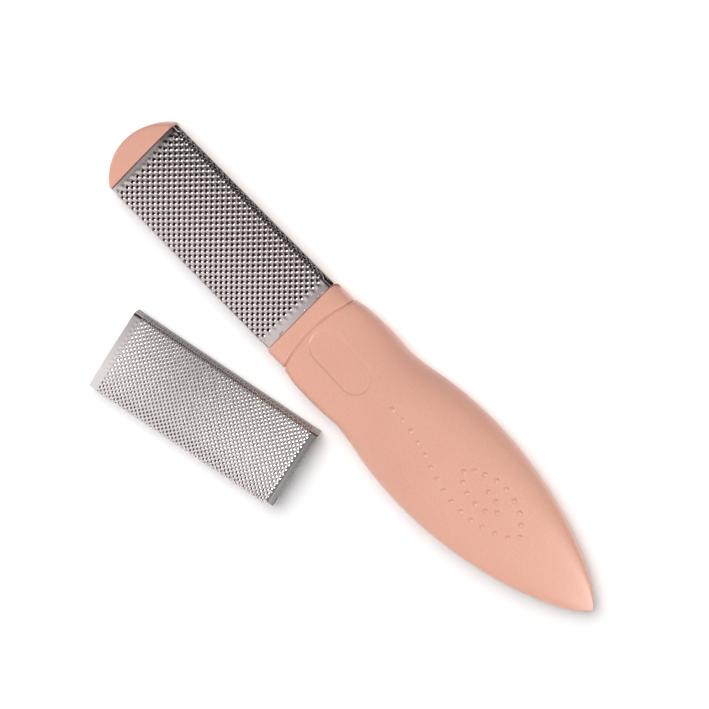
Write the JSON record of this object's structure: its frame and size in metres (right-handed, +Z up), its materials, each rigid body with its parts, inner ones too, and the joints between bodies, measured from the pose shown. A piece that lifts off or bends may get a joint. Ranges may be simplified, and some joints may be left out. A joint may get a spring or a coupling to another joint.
{
  "type": "foot file",
  "caption": "Foot file with a perforated steel rasp plate on a leaf-shaped plastic handle, kept on by a pull-off tip cap, and a finer spare plate lying beside it.",
  "frame": {"origin": "under the collar's front face, on the file's centre line, in the plane that it rests on", "axes": "+X along the file towards its tip, +Y across it towards the spare plate, +Z up"},
  "size_m": [0.2099, 0.0864, 0.0152],
  "materials": {
    "handle_plastic": "fine matte grain, pink",
    "plate_steel": "bright polished sheet steel, perforated, with rolled long edges"
  },
  "bodies": {
    "handle": {"handle_top": "handle_plastic", "handle_bottom": "handle_plastic", "head_carrier": "handle_plastic"},
    "tip": {"tip_cap": "handle_plastic"},
    "plate": {"coarse_rasp_plate": "plate_steel"},
    "spare": {"fine_rasp_plate": "plate_steel"}
  },
  "joints": [
    {"name": "tip_slide", "type": "slide", "parent": "handle", "child": "tip", "axis": [1, 0, 0], "range_m": [0, 0.095]},
    {"name": "plate_slide", "type": "slide", "parent": "handle", "child": "plate", "axis": [1, 0, 0], "range_m": [0, 0.078]},
    {"name": "spare_lift", "type": "slide", "parent": "handle", "child": "spare", "axis": [0, 0, 1], "range_m": [0, 0.15]}
  ],
  "couplings": [
    {"joint": "plate_slide", "follows": "tip_slide", "ratio": 0.8}
  ]
}
